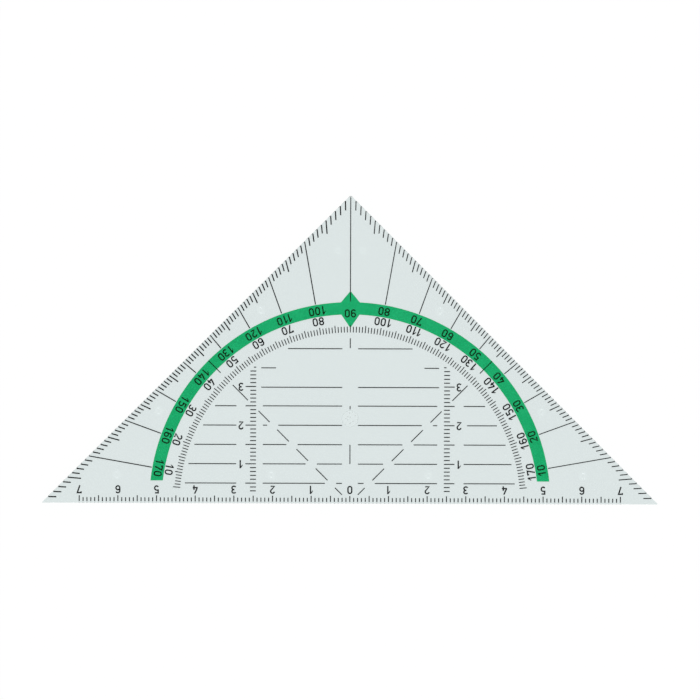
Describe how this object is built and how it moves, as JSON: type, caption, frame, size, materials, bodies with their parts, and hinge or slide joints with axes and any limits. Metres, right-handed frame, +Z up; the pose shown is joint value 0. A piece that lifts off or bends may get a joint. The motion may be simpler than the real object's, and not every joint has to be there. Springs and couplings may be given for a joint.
{
  "type": "geometry triangle",
  "caption": "Clear right-angled set square with a printed protractor arc, a centimetre ruler on the long edge, degree ticks on the short edges and parallel guide lines.",
  "frame": {"origin": "middle of the long edge, where the plate's underside meets the edge face, below the zero mark of the print", "axes": "+X along the long edge to the right as read from above, +Y from the long edge to the right-angled apex, +Z up out of the paper through the plate"},
  "size_m": [0.1592, 0.0795, 0.0023],
  "materials": {
    "plate": "clear moulded plastic, polished, with a faint grey-green tint",
    "black_ink": "thin screen-printed black ink",
    "green_ink": "thin screen-printed green ink"
  },
  "bodies": {
    "root": {"plate": "plate", "green_band": "green_ink", "ruler_ticks": "black_ink", "ruler_numerals": "black_ink", "left_degree_ticks": "black_ink", "right_degree_ticks": "black_ink", "left_degree_rays": "black_ink", "right_degree_rays": "black_ink", "apex_line": "black_ink", "ring_ticks": "black_ink", "band_numerals": "black_ink", "ring_numerals": "black_ink", "band_marks": "black_ink", "left_height_ticks": "black_ink", "right_height_ticks": "black_ink", "height_numerals": "black_ink", "inner_guide_lines": "black_ink", "left_guide_lines": "black_ink", "right_guide_lines": "black_ink", "left_diagonal": "black_ink", "right_diagonal": "black_ink", "centre_dashes": "black_ink"}
  },
  "joints": []
}
